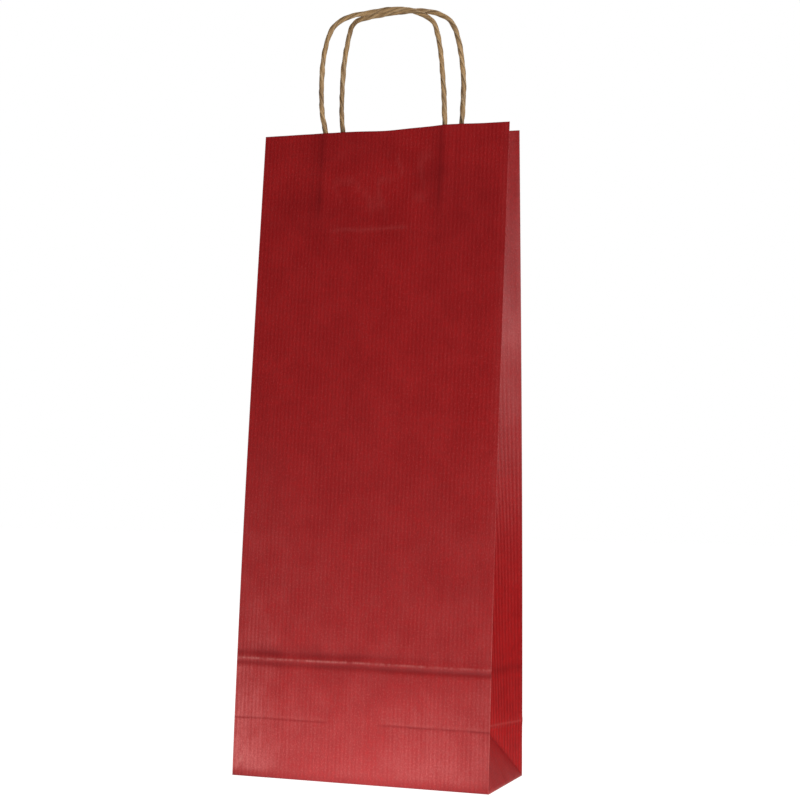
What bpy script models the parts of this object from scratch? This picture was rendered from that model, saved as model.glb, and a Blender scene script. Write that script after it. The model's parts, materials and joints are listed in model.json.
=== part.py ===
"""Tall paper gift bag for one wine bottle, standing on its folded bottom.

Frame: origin at the centre of the bottom, on the ground. +X runs across the front panel, -Y is the
front, +Z is up. Lengths are in metres.

The paper body is one glued tube. Each of its flat areas is a sheet of its own here, with a small gap
at every crease, and every sheet that moves hangs on an empty or has its origin on its crease.
"""

import math

import bmesh
import bpy
from mathutils import Matrix, Vector

# The bag
WIDTH = 0.160  # front and back panels
DEPTH = 0.075  # bottom, front to back
HEIGHT = 0.395  # paper, measured up a panel
LEAN = 0.026  # how far the top of each panel leans in over the bottom
PAPER = 0.0002  # one sheet
GAP = 0.0003  # between neighbouring sheets
HALF_WIDTH = WIDTH / 2
HALF_DEPTH = DEPTH / 2
LEAN_ANGLE = math.asin(LEAN / HEIGHT)

# Creases
FOLD_INSET = 0.0006  # from a bottom edge to the layers folded over it
EDGE_INSET = 0.0003  # from a panel's side edge to its gusset
GUSSET_LIFT = 0.0007  # from a panel's outer face to the middle of the gusset sheet
CREASE_CLEARANCE = 0.0021  # from a gusset sheet to the middle plane of the bag
DIAGONAL_CLEARANCE = 0.001  # from a sheet to the diagonal crease
TUCK_FOOT = 0.0018  # from the ground to the tuck
GUSSET_ROWS = 14
GUSSET_COLUMNS = 3
CREASE_STEPS = 24  # for the length along the middle crease

# Bottom
FLAP_OVERLAP = 0.015  # how far each flap passes the middle
BOTTOM_LAYER = PAPER + GAP

# Glued side seam
SEAM_WIDTH = 0.014
SEAM_FROM_EDGE = 0.0035
SEAM_MARGIN = 0.004

# Handles
CORD_RADIUS = 0.0016
CORD_ROUNDNESS = 2  # extra sides in each quarter of the round section
HANDLE_SPAN = 0.078
HANDLE_RISE = 0.072  # from the bend to the top of the loop
HANDLE_CORNER = 0.022
HANDLE_TILT = math.radians(2.5)  # of a loop, outwards from its panel
BEND_ABOVE_RIM = 0.005
LOOP_START = 0.0004  # of the loop, above the bend
CORD_STOP = 0.0031  # of the glued end, below the bend
CORNER_STEPS = 7
HANDLE_SHIFT = {"front": -0.001, "back": -0.004}  # sideways, in the panel's own frame

# Patches that hold the cord ends
PATCH_WIDTH = 0.094
PATCH_HEIGHT = 0.062
PATCH_BELOW_RIM = 0.002
CORD_END_SHORT = 0.005  # the cord stops this far above the foot of its patch
BACKING_LIFT = 0.0006  # middle of the sheet on the panel, from the panel's outer face
COVER_LIFT = BACKING_LIFT + PAPER + GAP
CORD_LIFT = COVER_LIFT - PAPER / 2 + CORD_RADIUS
COVER_BULGE = 2 * CORD_RADIUS + 0.0004
BULGE_HALF_WIDTH = 0.005
COVER_COLUMNS = 94

# Finishes: colour and roughness
RED_FINISH = ((0.33, 0.02, 0.022), 0.45)
PLAIN_FINISH = ((0.52, 0.36, 0.22), 0.8)
CORD_FINISH = ((0.36, 0.22, 0.12), 0.8)

RIGHT, LEFT = 1, -1
FRONT, BACK = -1, 1
SIDE_NAME = {RIGHT: "right", LEFT: "left"}
WALL_NAME = {FRONT: "front", BACK: "back"}


def clear_scene():
    for obj in list(bpy.data.objects):
        bpy.data.objects.remove(obj)


def paper_material(name, colour, roughness):
    material = bpy.data.materials.new(name)
    material.use_nodes = True
    shader = material.node_tree.nodes["Principled BSDF"]
    shader.inputs["Base Color"].default_value = (*colour, 1.0)
    shader.inputs["Roughness"].default_value = roughness
    shader.inputs["Metallic"].default_value = 0.0
    return material


def add_piece(name, data, material, parent, matrix):
    """An object for one piece. Its matrix is in the parent's frame."""
    obj = bpy.data.objects.new(name, data)
    piece_material = material.copy()
    piece_material.name = name
    data.materials.append(piece_material)
    obj.parent = parent
    obj.matrix_basis = matrix
    bag.objects.link(obj)
    return obj


def add_hinge(name, parent, matrix):
    """An empty on a crease. Its local X runs along the crease."""
    hinge = bpy.data.objects.new(name, None)
    hinge.empty_display_size = 0.02
    hinge.parent = parent
    hinge.matrix_basis = matrix
    bag.objects.link(hinge)
    return hinge


def flat_sheet(outline):
    """A flat sheet in local XY with the middle of its thickness at z = 0."""
    curve = bpy.data.curves.new("sheet", "CURVE")
    curve.dimensions = "2D"
    curve.fill_mode = "BOTH"
    curve.extrude = PAPER / 2
    spline = curve.splines.new("POLY")
    spline.points.add(len(outline) - 1)
    for point, (x, y) in zip(spline.points, outline):
        point.co = (x, y, 0.0, 1.0)
    spline.use_cyclic_u = True
    return curve


def cord(path):
    """A round cord along a list of points."""
    curve = bpy.data.curves.new("cord", "CURVE")
    curve.dimensions = "3D"
    curve.bevel_depth = CORD_RADIUS
    curve.bevel_resolution = CORD_ROUNDNESS
    curve.use_fill_caps = True
    spline = curve.splines.new("POLY")
    spline.points.add(len(path) - 1)
    for point, co in zip(spline.points, path):
        point.co = (*co, 1.0)
    spline.use_smooth = True
    return curve


def curved_sheet(name, material, parent, matrix, columns, rows, place):
    """A sheet whose middle is place(across, up) for across and up from 0 to 1."""
    bm = bmesh.new()
    bmesh.ops.create_grid(bm, x_segments=columns, y_segments=rows, size=0.5)
    for vertex in bm.verts:
        vertex.co = place(vertex.co.x + 0.5, vertex.co.y + 0.5)
    mesh = bpy.data.meshes.new(name)
    bm.to_mesh(mesh)
    bm.free()
    obj = add_piece(name, mesh, material, parent, matrix)
    solidify = obj.modifiers.new("Solidify", "SOLIDIFY")
    solidify.thickness = PAPER
    solidify.offset = 0.0
    return obj


def rectangle(x0, x1, y0, y1):
    return [(x0, y0), (x1, y0), (x1, y1), (x0, y1)]


def upright(lift):
    """Stands a flat sheet up in a panel's frame, with its middle at this lift off the outer face."""
    return Matrix.Translation((0.0, lift, 0.0)) @ Matrix.Rotation(math.pi / 2, 4, "X")


def panel_hinge(wall):
    """The bottom crease of a panel. Local Z runs up the panel, and local Y points into the bag."""
    turn = Matrix.Rotation(0.0 if wall == FRONT else math.pi, 4, "Z")
    lean = Matrix.Rotation(-LEAN_ANGLE, 4, "X")
    matrix = Matrix.Translation((0.0, wall * HALF_DEPTH, 0.0)) @ turn @ lean
    return add_hinge(WALL_NAME[wall] + "_wall_hinge", None, matrix)


def build_panel(wall, hinge):
    outline = rectangle(-HALF_WIDTH, HALF_WIDTH, GAP, HEIGHT)
    add_piece(WALL_NAME[wall] + "_panel", flat_sheet(outline), red_paper, hinge, upright(PAPER / 2))


def build_seam(hinge):
    """The glued lap of the tube, inside the back panel along one side edge."""
    edge = HALF_WIDTH - SEAM_FROM_EDGE
    outline = rectangle(edge - SEAM_WIDTH, edge, SEAM_MARGIN, HEIGHT - SEAM_MARGIN)
    add_piece("side_seam_lap", flat_sheet(outline), plain_paper, hinge, upright(BACKING_LIFT))


def half_gap(height):
    """Half the distance between the two panels at this height up the paper."""
    return HALF_DEPTH - LEAN * height / HEIGHT


def crease_depth(height):
    """How far the middle crease of a gusset lies inside the panels' side edges."""
    above_tuck = max(height, HALF_DEPTH)
    return math.sqrt(HALF_DEPTH**2 - half_gap(above_tuck) ** 2)


def crease_height(height):
    """Height over the ground of the middle crease: straight up the tuck, then along the gusset."""
    tuck_slope = math.sqrt(1.0 - (crease_depth(0.0) / HALF_DEPTH) ** 2)
    if height <= HALF_DEPTH:
        return height * tuck_slope
    step = (height - HALF_DEPTH) / CREASE_STEPS
    total = HALF_DEPTH * tuck_slope
    for i in range(CREASE_STEPS):
        low = HALF_DEPTH + i * step
        inwards = crease_depth(low + step) - crease_depth(low)
        total += math.sqrt(step**2 - inwards**2)
    return total


def build_gusset_half(side, wall, hinge):
    """Half of a side gusset, from a panel's side edge to the middle crease, twisting inwards."""
    corner = Vector((side * HALF_WIDTH, wall * HALF_DEPTH, 0.0))
    rise = math.cos(LEAN_ANGLE)

    def place(across, up):
        low = HALF_DEPTH * across + DIAGONAL_CLEARANCE + PAPER
        height = low + up * (HEIGHT - low)
        reach = half_gap(height) - GUSSET_LIFT - CREASE_CLEARANCE
        x = HALF_WIDTH - EDGE_INSET - across * (crease_depth(height) - EDGE_INSET)
        y = CREASE_CLEARANCE + (1.0 - across) * reach
        z = (1.0 - across) * height * rise + across * crease_height(height)
        return Vector((side * x, wall * y, z)) - corner

    name = f"{SIDE_NAME[side]}_gusset_{WALL_NAME[wall]}"
    matrix = hinge.matrix_basis.inverted() @ Matrix.Translation(corner)
    curved_sheet(name, red_paper, hinge, matrix, GUSSET_COLUMNS, GUSSET_ROWS, place)


def build_tuck_half(side, wall, hinge):
    """Half of the triangle at the foot of a gusset, tilted inwards about the bottom's side edge."""
    tilt = math.asin(crease_depth(0.0) / HALF_DEPTH)
    along = Vector((0.0, -wall, 0.0))
    up = Vector((-side * math.sin(tilt), 0.0, math.cos(tilt)))
    frame = Matrix((along, up, along.cross(up))).transposed().to_4x4()
    corner = Vector((side * (HALF_WIDTH - EDGE_INSET), wall * HALF_DEPTH, 0.0))
    inner = HALF_DEPTH - CREASE_CLEARANCE
    outline = [
        (TUCK_FOOT + DIAGONAL_CLEARANCE, TUCK_FOOT),
        (inner, TUCK_FOOT),
        (inner, inner - DIAGONAL_CLEARANCE),
    ]
    name = f"{SIDE_NAME[side]}_tuck_{WALL_NAME[wall]}"
    matrix = hinge.matrix_basis.inverted() @ Matrix.Translation(corner) @ frame
    add_piece(name, flat_sheet(outline), red_paper, hinge, matrix)


def build_bottom_flap(wall, layer):
    """A flap folded over the bottom from one panel. Its ends run in at 45 degrees."""
    edge = HALF_DEPTH - FOLD_INSET
    middle = HALF_WIDTH - FOLD_INSET - edge
    outline = [
        (-HALF_WIDTH + FOLD_INSET, -edge),
        (HALF_WIDTH - FOLD_INSET, -edge),
        (middle, 0.0),
        (middle, FLAP_OVERLAP),
        (-middle, FLAP_OVERLAP),
        (-middle, 0.0),
    ]
    turn = Matrix.Rotation(0.0 if wall == FRONT else math.pi, 4, "Z")
    matrix = Matrix.Translation((0.0, 0.0, PAPER / 2 + layer * BOTTOM_LAYER)) @ turn
    add_piece("bottom_flap_" + WALL_NAME[wall], flat_sheet(outline), red_paper, None, matrix)


def build_bottom_fold(side, layer):
    """The foot of a gusset, folded flat inside the bottom flaps."""
    edge = HALF_DEPTH - FOLD_INSET - GAP
    outer = HALF_WIDTH - FOLD_INSET
    outline = rectangle(outer - HALF_DEPTH - FLAP_OVERLAP, outer, -edge, edge)
    turn = Matrix.Rotation(0.0 if side == RIGHT else math.pi, 4, "Z")
    matrix = Matrix.Translation((0.0, 0.0, PAPER / 2 + layer * BOTTOM_LAYER)) @ turn
    add_piece("bottom_fold_" + SIDE_NAME[side], flat_sheet(outline), plain_paper, None, matrix)


def leg_places(wall):
    """Where the two legs of a handle stand across its panel."""
    shift = HANDLE_SHIFT[WALL_NAME[wall]]
    return shift - HANDLE_SPAN / 2, shift + HANDLE_SPAN / 2


def build_patch(wall, hinge):
    """Two sheets that hold the glued cord ends: a flat backing, and a cover formed over the cords."""
    top = HEIGHT - PATCH_BELOW_RIM
    foot = top - PATCH_HEIGHT
    legs = leg_places(wall)
    left = HANDLE_SHIFT[WALL_NAME[wall]] - PATCH_WIDTH / 2
    name = WALL_NAME[wall]
    outline = rectangle(left, left + PATCH_WIDTH, foot, top)
    add_piece(name + "_patch_backing", flat_sheet(outline), plain_paper, hinge, upright(BACKING_LIFT))

    def place(across, up):
        x = left + across * PATCH_WIDTH
        nearest = min(abs(x - leg) for leg in legs)
        share = min(nearest / BULGE_HALF_WIDTH, 1.0)
        lift = COVER_LIFT + COVER_BULGE * (0.5 + 0.5 * math.cos(math.pi * share))
        return Vector((x, lift, foot + up * PATCH_HEIGHT))

    matrix = Matrix.Identity(4)
    curved_sheet(name + "_patch_cover", plain_paper, hinge, matrix, COVER_COLUMNS, 1, place)


def build_cord_ends(wall, hinge):
    """The straight ends of the cord, glued between the two patch sheets."""
    top = HEIGHT + BEND_ABOVE_RIM - CORD_STOP
    foot = HEIGHT - PATCH_BELOW_RIM - PATCH_HEIGHT + CORD_END_SHORT
    for x in leg_places(wall):
        side = RIGHT if x * -wall > 0 else LEFT
        name = f"{WALL_NAME[wall]}_cord_end_{SIDE_NAME[side]}"
        path = [(0.0, 0.0, foot), (0.0, 0.0, top)]
        add_piece(name, cord(path), kraft_cord, hinge, Matrix.Translation((x, CORD_LIFT, 0.0)))


def loop_path():
    """Up one leg, round a corner, across the top, round the other corner and down."""
    half = HANDLE_SPAN / 2
    turn_x = half - HANDLE_CORNER
    turn_z = HANDLE_RISE - HANDLE_CORNER
    angles = [math.pi / 2 * i / CORNER_STEPS for i in range(CORNER_STEPS + 1)]
    corner = [
        (turn_x + HANDLE_CORNER * math.cos(a), 0.0, turn_z + HANDLE_CORNER * math.sin(a))
        for a in angles
    ]
    right = [(half, 0.0, LOOP_START)] + corner
    left = [(-x, y, z) for x, y, z in reversed(right)]
    return right + left


def build_handle(wall, hinge):
    """The free loop of a cord, which swings about the bend just above the rim."""
    name = WALL_NAME[wall] + "_handle"
    bend = Vector((HANDLE_SHIFT[WALL_NAME[wall]], CORD_LIFT, HEIGHT + BEND_ABOVE_RIM))
    matrix = Matrix.Translation(bend) @ Matrix.Rotation(HANDLE_TILT, 4, "X")
    bend_hinge = add_hinge(name + "_hinge", hinge, matrix)
    add_piece(name + "_cord", cord(loop_path()), kraft_cord, bend_hinge, Matrix.Identity(4))


clear_scene()
bag = bpy.data.collections.new("wine_gift_bag")
bpy.context.scene.collection.children.link(bag)
red_paper = paper_material("red_paper", *RED_FINISH)
plain_paper = paper_material("plain_paper", *PLAIN_FINISH)
kraft_cord = paper_material("kraft_cord", *CORD_FINISH)

for wall in (FRONT, BACK):
    wall_hinge = panel_hinge(wall)
    build_panel(wall, wall_hinge)
    build_patch(wall, wall_hinge)
    build_cord_ends(wall, wall_hinge)
    build_handle(wall, wall_hinge)
    for side in (RIGHT, LEFT):
        build_gusset_half(side, wall, wall_hinge)
        build_tuck_half(side, wall, wall_hinge)
    if wall == BACK:
        build_seam(wall_hinge)

build_bottom_flap(BACK, 0)
build_bottom_flap(FRONT, 1)
build_bottom_fold(RIGHT, 2)
build_bottom_fold(LEFT, 2)
bpy.context.view_layer.update()
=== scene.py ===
import json
import math

import bpy
import numpy as np
from mathutils import Matrix, Vector


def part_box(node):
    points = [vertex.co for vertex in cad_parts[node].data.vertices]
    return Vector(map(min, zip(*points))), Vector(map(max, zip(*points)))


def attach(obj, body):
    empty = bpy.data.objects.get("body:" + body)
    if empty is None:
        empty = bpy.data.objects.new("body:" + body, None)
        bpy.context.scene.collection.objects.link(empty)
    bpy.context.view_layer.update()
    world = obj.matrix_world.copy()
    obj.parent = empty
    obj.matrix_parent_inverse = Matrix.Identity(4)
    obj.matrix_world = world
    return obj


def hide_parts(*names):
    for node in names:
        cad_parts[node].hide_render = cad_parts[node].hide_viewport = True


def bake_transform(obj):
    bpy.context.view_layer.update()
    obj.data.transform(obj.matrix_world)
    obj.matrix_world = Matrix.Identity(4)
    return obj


# Wine gift bag. Red ribbed kraft paper, two twisted paper cord handles.
# Lengths are in millimetres in the row frame, and turn into metres in make_mesh.
# On a panel, u runs across it, s up its paper from the bottom crease, and n inwards from its face.
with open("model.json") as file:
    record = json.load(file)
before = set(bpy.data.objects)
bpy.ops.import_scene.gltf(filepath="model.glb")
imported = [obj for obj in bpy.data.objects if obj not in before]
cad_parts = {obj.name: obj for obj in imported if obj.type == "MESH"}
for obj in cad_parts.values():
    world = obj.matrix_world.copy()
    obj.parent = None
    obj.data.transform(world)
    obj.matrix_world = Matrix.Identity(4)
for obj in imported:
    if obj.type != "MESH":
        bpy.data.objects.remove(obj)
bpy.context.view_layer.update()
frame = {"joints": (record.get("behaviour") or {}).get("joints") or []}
MM = 1000.0


def box_mm(node):
    low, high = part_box(node)
    return np.array(low) * MM, np.array(high) * MM


def joint_point(name):
    joint = next(j for j in frame["joints"] if j["name"] == name)
    return np.array(joint["pos_m"]) * MM


# ---------------------------------------------------------------- the bag's own measures
# The panels and what follows from them: WALL is a panel's length up its leaning face.
PAPER = 0.2
PATCH_SHEET = 0.18
PANEL_HIGH = box_mm("front_panel")[1]
HALF_WIDTH = PANEL_HIGH[0]
HALF_DEPTH = -joint_point("mouth_opening")[1]
RIM_Z = PANEL_HIGH[2]
LEAN = HALF_DEPTH + PANEL_HIGH[1] - PAPER
WALL = math.hypot(RIM_Z, LEAN)
ALPHA = math.atan2(LEAN, RIM_Z)
SIN_A, COS_A = math.sin(ALPHA), math.cos(ALPHA)

# Ribs, the bow of a panel, and the two creases pressed in around the bag with their fall.
RIB_PITCH = 2.5
RIB_HEIGHT = 0.02
BOW = 2.9
CREASE_HIGH = 69.6
CREASE_HIGH_FALL = 3.2
CREASE_LOW = 34.5
CREASE_LOW_FALL = 2.2

# A half gusset is as wide as half the depth. Its middle crease starts at the point of the tuck,
# which lies TUCK_IN inwards and TUCK_Z up, and ends a little below the rim.
GUSSET = HALF_DEPTH
TUCK_IN = 16.2
TUCK_Z = 33.9
CREASE_TOP_DROP = 2.6
GUSSET_SAG = 1.1

# Size of the side folds, room left at creases and around the flaps, and the uneven rim.
FOLD_ROUND = 0.5
CREASE_OPEN = 0.02
FLAP_INSET = 0.9
FLAP_SHORT = 0.3
RIM_WAVE = 0.7
RIM_WAVE_DEPTH = 40

FRONT, BACK, LEFT, RIGHT = -1, 1, -1, 1
NAMES = {FRONT: "front", BACK: "back"}
SIDES = {LEFT: "left", RIGHT: "right"}

# Seeds of the noise that bends and marks each side of the bag.
RELIEF_SEED = {FRONT: 3, BACK: 7}
CREASE_SEED = {FRONT: 5, BACK: 9}
MARKS_SEED = {FRONT: 21, BACK: 25}
CORD_SEED = {FRONT: 71, BACK: 77}

# Mesh rows of the walls above the tuck: the height that a band ends at, and its points.
ROW_BANDS = ((64, 22), (76, 25), (326, 58), (338, 11), (WALL - 2, 14))
ROWS_BELOW_RIM = np.array([1.3, 0.7, 0.3, 0.0])


# ---------------------------------------------------------------- small maths
GRAIN_CELLS = 96


def smooth(t):
    t = np.clip(t, 0.0, 1.0)
    return t * t * (3 - 2 * t)


def bell(x, width):
    return np.exp(-((x / width) ** 2))


def grain(x, y, seed):
    """Smooth value noise in -1..1 with one lattice cell per unit."""
    grid = np.random.default_rng(seed).uniform(-1, 1, (GRAIN_CELLS, GRAIN_CELLS))
    x, y = np.broadcast_arrays(np.asarray(x, float), np.asarray(y, float))
    xi, yi = np.floor(x).astype(int), np.floor(y).astype(int)
    fx, fy = smooth(x - xi), smooth(y - yi)
    x0, x1 = xi % GRAIN_CELLS, (xi + 1) % GRAIN_CELLS
    y0, y1 = yi % GRAIN_CELLS, (yi + 1) % GRAIN_CELLS
    lower = grid[x0, y0] * (1 - fx) + grid[x1, y0] * fx
    upper = grid[x0, y1] * (1 - fx) + grid[x1, y1] * fx
    return lower * (1 - fy) + upper * fy


# ---------------------------------------------------------------- the bag's curved walls
def high_crease(y_side, c=0.0):
    """Height of the upper crease, which falls a little from the front panel to the back one."""
    return CREASE_HIGH - CREASE_HIGH_FALL * (0.5 * c if y_side == FRONT else 1 - 0.5 * c)


def low_crease(y_side, c=0.0):
    """Height of the lower crease, which falls along the back half of a gusset."""
    return CREASE_LOW - (0.0 if y_side == FRONT else CREASE_LOW_FALL * (1 - c))


def bow(s, y_side):
    """How far a panel stands out past the flat plane between its foot and its rim."""
    s = np.clip(s, 0, WALL)
    out = BOW * np.sin(np.pi * (s / WALL) ** 0.8)
    if y_side == BACK:
        out = out + 0.7 * bell(s - low_crease(BACK) - 1.3, 2.2) - 0.3 * bell(s - 21, 8)
    return out


def wall(y_side, u, s, n):
    """A point u across, s up and n inwards from the outer face of a panel."""
    n = n - bow(s, y_side)
    y = HALF_DEPTH - s * SIN_A - n * COS_A
    z = s * COS_A - n * SIN_A
    return np.stack(np.broadcast_arrays(u, y_side * y, z), -1)


def gusset(x_side, y_side, c, s):
    """A point of a gusset half: c is 0 on its panel's edge and 1 on the middle crease."""
    c, s = np.broadcast_arrays(c, s)
    edge = wall(y_side, 0.0, s, 0.0)
    h, z_wall = y_side * edge[..., 1], edge[..., 2]
    t = np.clip((s - GUSSET) / (WALL - GUSSET), 0, 1)
    top_in = math.sqrt(GUSSET ** 2 - (HALF_DEPTH - LEAN) ** 2)
    pleat = TUCK_IN + (top_in - TUCK_IN) * np.sin(np.pi / 2 * t) ** 1.6
    inset = np.where(s >= GUSSET * c, c * pleat, s * TUCK_IN / GUSSET)
    z_low = np.minimum(s, GUSSET) * TUCK_Z / GUSSET
    z_crease = z_low + t * (RIM_Z - CREASE_TOP_DROP - TUCK_Z)
    sag = GUSSET_SAG * np.sin(np.pi * c) * smooth((s - GUSSET * c) / 90)
    sag = sag * (0.4 + 0.6 * smooth((WALL - s) / 120))
    sag = sag * (1 + 0.5 * grain(s / 70, c * 2 + 5 * x_side, 11))
    x = x_side * (HALF_WIDTH - inset - sag)
    y = y_side * (h * (1 - c) + CREASE_OPEN * c)
    z = (1 - c) * z_wall + c * z_crease
    return np.stack(np.broadcast_arrays(x, y, z), -1)


def wall_rows():
    """Heights of the mesh rows, fine where the paper is creased."""
    rows = [np.arange(0, GUSSET + 0.01, RIB_PITCH / 4)]
    start = GUSSET
    for end, count in ROW_BANDS:
        rows.append(np.linspace(start, end, count)[1:])
        start = end
    rows.append(WALL - ROWS_BELOW_RIM)
    return np.concatenate(rows)


ROWS = wall_rows()


# ---------------------------------------------------------------- meshes
def make_mesh(name, points, faces, materials, slots, attributes, sharp=45):
    mesh = bpy.data.meshes.new(name)
    mesh.from_pydata((points / MM).tolist(), [], faces)
    for material in materials:
        mesh.materials.append(material)
    mesh.polygons.foreach_set("material_index", np.asarray(slots, np.int32))
    mesh.polygons.foreach_set("use_smooth", np.ones(len(mesh.polygons), bool))
    for key, values in attributes.items():
        kind = "FLOAT_VECTOR" if values.ndim == 2 else "FLOAT"
        layer = mesh.attributes.new(key, kind, "POINT")
        field = "vector" if values.ndim == 2 else "value"
        layer.data.foreach_set(field, values.astype(np.float32).ravel())
    mesh.update()
    mesh.set_sharp_from_angle(angle=math.radians(sharp))
    piece = bpy.data.objects.new(name, mesh)
    bpy.context.scene.collection.objects.link(piece)
    return piece


def grid_faces(rows, cols, offset, flip):
    index = np.arange(rows * cols).reshape(rows, cols) + offset
    a, b = index[:-1, :-1], index[:-1, 1:]
    c, d = index[1:, 1:], index[1:, :-1]
    order = (a, d, c, b) if flip else (a, b, c, d)
    return np.stack(order, -1).reshape(-1, 4)


def grid_normals(points, flip):
    normal = np.cross(np.gradient(points, axis=1), np.gradient(points, axis=0))
    normal /= np.linalg.norm(normal, axis=-1, keepdims=True) + 1e-12
    return -normal if flip else normal


def near_fold(distance):
    """Paper thickness by distance from a sharp fold, so that the two layers don't cross."""
    return np.clip(0.02 + 0.11 * distance, 0.03, PAPER)


def sheet(name, outer, flip, marks, materials, thickness=PAPER, mitre=False):
    """A closed sheet of paper from a grid of points on its outer face."""
    thickness = np.broadcast_to(thickness, outer.shape[0])[:, None]
    rows, cols = outer.shape[:2]
    normal = grid_normals(outer, flip)
    inner = outer - normal * thickness[..., None]
    if mitre:
        inner[-1, :, 0] = outer[-1, :, 0] - thickness[-1] / normal[-1, :, 0]
        inner[-1, :, 1:] = outer[-1, :, 1:]
    points = np.concatenate([outer.reshape(-1, 3), inner.reshape(-1, 3)])
    count = rows * cols
    front = grid_faces(rows, cols, 0, flip)
    back = grid_faces(rows, cols, count, not flip)
    index = np.arange(count).reshape(rows, cols)
    loop = np.concatenate([index[0, :], index[1:, -1], index[-1, -2::-1], index[-2:0:-1, 0]])
    after = np.roll(loop, -1)
    if flip:
        rim = np.stack([loop, after, after + count, loop + count], -1)
    else:
        rim = np.stack([after, loop, loop + count, after + count], -1)
    faces = np.concatenate([front, back, rim]).tolist()
    slots = [0] * len(front) + [1] * len(back) + [2] * len(rim)
    attributes = {}
    for key, values in marks.items():
        flat = values.reshape(count, -1)
        flat = np.concatenate([flat, flat])
        attributes[key] = flat if flat.shape[1] == 3 else flat[:, 0]
    return make_mesh(name, points, faces, materials, slots, attributes)


# ---------------------------------------------------------------- materials
RED_DEEP, RED_FULL = (0.365, 0.0038, 0.0050), (0.44, 0.0068, 0.0082)
# Painted light: a brighter, fuller red for the lower gusset.
RED_LIT = (0.56, 0.0075, 0.0085)
RED_CLOUD = (0.30, 0.0050, 0.0066)
RED_MOTTLE = (0.24, 0.0040, 0.0050)
# Painted shade for the rib valleys, painted highlight for the rib crests.
RED_VALLEY_SHADE, RED_CREST_HIGHLIGHT = (0.20, 0.002, 0.003), (0.70, 0.20, 0.19)
RED_HAZE = (0.60, 0.14, 0.14)
# Pale specks on the ribs.
RED_PALE_SPECK = (0.58, 0.085, 0.085)
# Painted sheen.
RED_SHEEN = (0.60, 0.115, 0.110)
# Wear and painted highlight.
RED_WEAR_AND_HIGHLIGHT = (0.62, 0.17, 0.155)
# Painted shade, mixed in where the dark mark is.
RED_SHADE = (0.19, 0.0030, 0.0045)
KRAFT_DEEP, KRAFT_LIGHT = (0.35, 0.215, 0.11), (0.50, 0.335, 0.19)
KRAFT_THREAD = (0.56, 0.40, 0.25)
KRAFT_FLECK = (0.15, 0.08, 0.035)
# Lighter kraft for wear and painted highlight.
KRAFT_WEAR_AND_HIGHLIGHT = (0.62, 0.47, 0.32)
EDGE_DEEP, EDGE_LIGHT = (0.30, 0.05, 0.04), (0.42, 0.10, 0.08)
PATCH_DEEP, PATCH_LIGHT = (0.40, 0.26, 0.14), (0.53, 0.37, 0.215)
CORD_DEEP, CORD_LIGHT = (0.235, 0.122, 0.042), (0.57, 0.335, 0.132)
CORD_FINE = (0.56, 0.385, 0.205)
CORD_SHADE = (0.21, 0.120, 0.058)
# Painted highlight for the cord's raised spots.
CORD_HIGHLIGHT = (0.70, 0.52, 0.31)
# Painted shade for the grooves and the rim shadow.
CORD_GROOVE_SHADE = (0.055, 0.032, 0.016)


class Tree:
    """A small helper for node materials."""

    def __init__(self, name):
        self.material = bpy.data.materials.new(name)
        self.material.use_nodes = True
        self.nodes = self.material.node_tree.nodes
        self.links = self.material.node_tree.links
        self.nodes.clear()
        self.output = self.nodes.new("ShaderNodeOutputMaterial")
        self.shader = self.nodes.new("ShaderNodeBsdfPrincipled")
        self.links.new(self.shader.outputs[0], self.output.inputs[0])

    def put(self, socket, value):
        if isinstance(value, bpy.types.NodeSocket):
            self.links.new(value, socket)
        elif isinstance(value, tuple) and len(value) == 3 and socket.type == "RGBA":
            socket.default_value = (*value, 1.0)
        else:
            socket.default_value = value

    def maths(self, operation, a, b=0.0, c=0.0):
        node = self.nodes.new("ShaderNodeMath")
        node.operation = operation
        for socket, value in zip(node.inputs, (a, b, c)):
            self.put(socket, value)
        return node.outputs[0]

    def times(self, a, b):
        return self.maths("MULTIPLY", a, b)

    def plus(self, a, b):
        return self.maths("ADD", a, b)

    def line(self, a, slope, base):
        return self.maths("MULTIPLY_ADD", a, slope, base)

    def remap(self, value, low, high, to_low, to_high, steps="SMOOTHSTEP"):
        node = self.nodes.new("ShaderNodeMapRange")
        node.interpolation_type = steps
        for socket, number in zip(node.inputs, (value, low, high, to_low, to_high)):
            self.put(socket, number)
        return node.outputs[0]

    def mix(self, amount, a, b):
        node = self.nodes.new("ShaderNodeMix")
        node.data_type = "RGBA"
        self.put(node.inputs[0], amount)
        self.put(node.inputs[6], a)
        self.put(node.inputs[7], b)
        return node.outputs[2]

    def mark(self, name, vector=False):
        node = self.nodes.new("ShaderNodeAttribute")
        node.attribute_name = name
        return node.outputs["Vector" if vector else "Fac"]

    def stretch(self, vector, scale):
        node = self.nodes.new("ShaderNodeVectorMath")
        node.operation = "MULTIPLY"
        self.put(node.inputs[0], vector)
        node.inputs[1].default_value = scale
        return node.outputs[0]

    def noise(self, vector, scale, detail=2.0, rough=0.5):
        node = self.nodes.new("ShaderNodeTexNoise")
        self.put(node.inputs["Vector"], self.stretch(vector, scale))
        node.inputs["Scale"].default_value = 1.0
        node.inputs["Detail"].default_value = detail
        node.inputs["Roughness"].default_value = rough
        return node.outputs["Fac"]

    def ribs(self, vector):
        """A wave in -1..1 across the sheet, 1 on the crest of each rib."""
        node = self.nodes.new("ShaderNodeSeparateXYZ")
        self.put(node.inputs[0], vector)
        return self.maths("COSINE", self.times(node.outputs["X"], 2 * math.pi / RIB_PITCH))

    def finish(self, colour, roughness, height, distance, specular):
        self.put(self.shader.inputs["Base Color"], colour)
        self.put(self.shader.inputs["Roughness"], roughness)
        self.put(self.shader.inputs["Specular IOR Level"], specular)
        bump = self.nodes.new("ShaderNodeBump")
        bump.inputs["Strength"].default_value = 1.0
        bump.inputs["Distance"].default_value = distance / MM
        self.put(bump.inputs["Height"], height)
        self.put(self.shader.inputs["Normal"], bump.outputs[0])
        return self.material


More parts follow.
